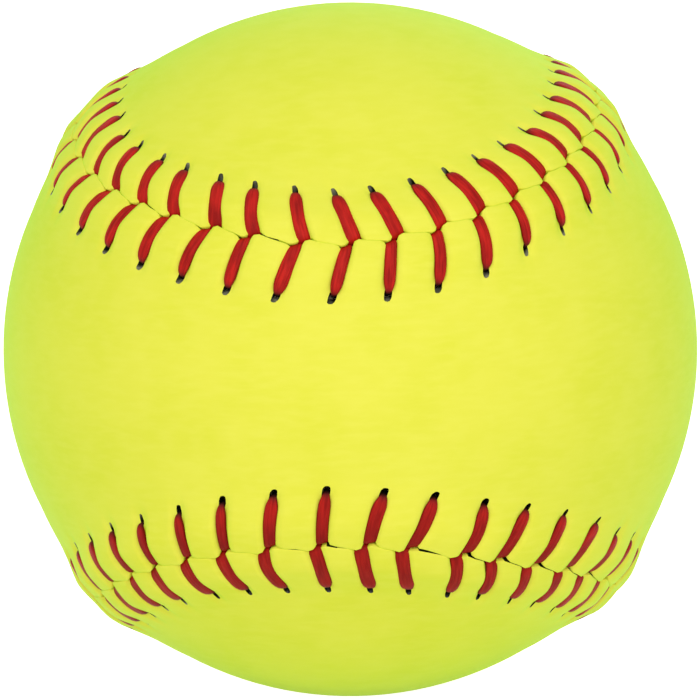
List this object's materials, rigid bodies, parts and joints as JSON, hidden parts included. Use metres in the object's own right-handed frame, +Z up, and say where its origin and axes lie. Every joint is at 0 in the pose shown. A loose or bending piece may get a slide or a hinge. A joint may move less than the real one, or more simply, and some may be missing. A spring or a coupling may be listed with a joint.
{
  "type": "leather-covered softball",
  "caption": "Softball of the larger bat-and-ball size: moulded core, cement coat, two interlocking figure-eight leather covers and a raised seam sewn with red waxed thread.",
  "frame": {"origin": "middle of the ball", "axes": "+Z up, -Y towards the viewer of the picture. The front cover panel has its waist on -Y and its lobes on +X and -X; the back cover panel has its waist on +Y and its lobes on +Z and -Z."},
  "size_m": [0.0956, 0.0961, 0.0956],
  "materials": {
    "leather": "smooth optic yellow coated leather with a low sheen",
    "thread": "red waxed thread",
    "cement": "dried latex cement",
    "core": "moulded polyurethane foam with a closed skin"
  },
  "bodies": {
    "root": {"core": "core", "cement_coat": "cement", "cover_front": "leather", "cover_back": "leather", "thread_first": "thread", "thread_second": "thread"}
  },
  "joints": []
}
